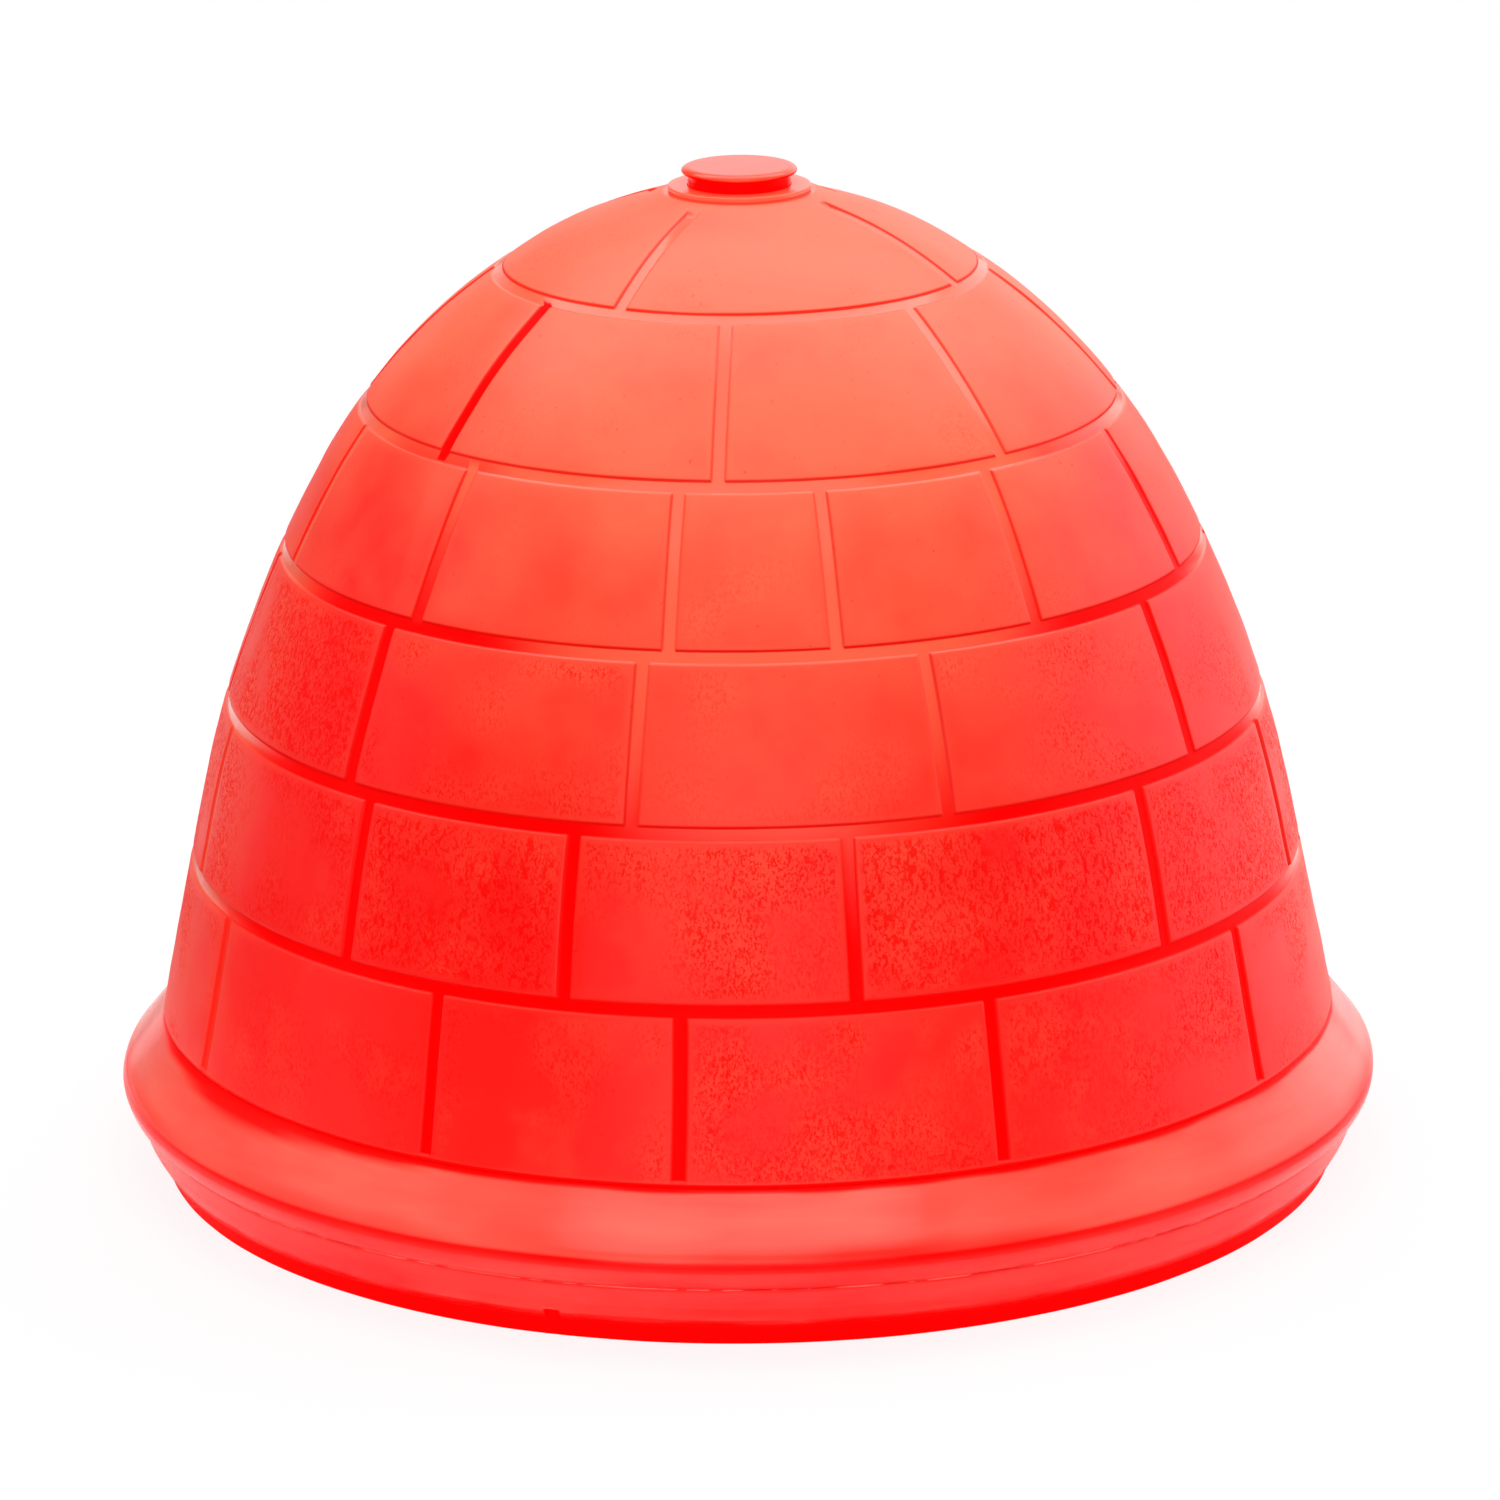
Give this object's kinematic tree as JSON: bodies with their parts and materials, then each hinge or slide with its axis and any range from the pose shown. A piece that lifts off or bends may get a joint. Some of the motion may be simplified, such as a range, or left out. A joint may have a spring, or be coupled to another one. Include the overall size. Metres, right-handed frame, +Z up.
{
  "type": "dog house",
  "caption": "Round igloo dog house: moulded dome of raised blocks with a rolled flange, arched porch and push-down crown vent, on a lift-off floor tray.",
  "frame": {"origin": "on the ground, on the dome's axis", "axes": "+Z up; the doorway faces +Y; +X is to the right seen from the back"},
  "size_m": [1.1001, 1.1, 0.8709],
  "materials": {
    "shell": "rotationally moulded polyethylene, satin, with fine mottling on the block faces",
    "vent": "injection-moulded plastic, smooth satin",
    "gasket": "soft rubber, matt",
    "seal": "soft rubber, matt",
    "plug": "rubber, matt"
  },
  "bodies": {
    "base": {"base_tray": "shell"},
    "dome": {"dome_shell": "shell", "vent_collar": "vent", "collar_gasket": "gasket", "vent_nut": "vent"},
    "cap": {"vent_cap": "vent", "cap_seal": "seal"},
    "plug": {"drain_plug": "plug"}
  },
  "joints": [
    {"name": "dome_lift", "type": "slide", "parent": "base", "child": "dome", "axis": [0, 0, 1], "range_m": [0, 0.15]},
    {"name": "vent_slide", "type": "slide", "parent": "dome", "child": "cap", "axis": [0, 0, 1], "range_m": [0, 0.022]},
    {"name": "plug_pull", "type": "slide", "parent": "base", "child": "plug", "axis": [0, 0, 1], "range_m": [0, 0.06]}
  ]
}
